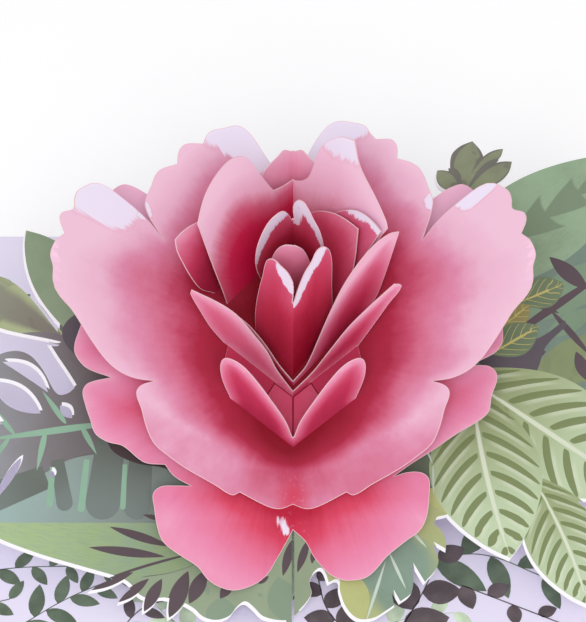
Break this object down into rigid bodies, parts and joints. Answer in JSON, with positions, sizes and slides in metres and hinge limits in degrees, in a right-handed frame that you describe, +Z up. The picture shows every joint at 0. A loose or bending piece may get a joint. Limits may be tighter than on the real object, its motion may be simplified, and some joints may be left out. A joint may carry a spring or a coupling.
{
  "type": "pop-up greeting card",
  "caption": "Pop-up greeting card opened flat: a layered peony of folded die-cut paper stands over the spine, with leaf sprays beside it.",
  "frame": {"origin": "centre of the opened card's underside, on the table", "axes": "+X across the opened card, +Y along the spine to the far edge, behind the flower, +Z up from the table"},
  "size_m": [0.3, 0.2, 0.1178],
  "materials": {
    "card": "matt, pale lilac print",
    "strut": "matt, uncoated",
    "leaf_green": "matt print",
    "leaf_olive": "matt print",
    "petal_pink": "matt print",
    "petal_deep": "matt print",
    "petal_pale": "matt print"
  },
  "bodies": {
    "root": {"card_cover": "card", "strut_front": "strut", "strut_rear": "strut", "foliage_left": "leaf_green", "foliage_right": "leaf_olive", "petals_lower": "petal_pink", "petals_main": "petal_pale", "front_pair_low": "petal_pink", "front_pair_high": "petal_pink", "inner_pair_front": "petal_pink", "bud_front": "petal_deep", "bud_heart": "petal_pink", "bud_back": "petal_deep", "side_petal_small": "petal_deep", "side_petal_rimmed": "petal_pink", "side_petal_outer": "petal_deep", "inner_pair_back": "petal_pale", "back_pair": "petal_pink"}
  },
  "joints": []
}
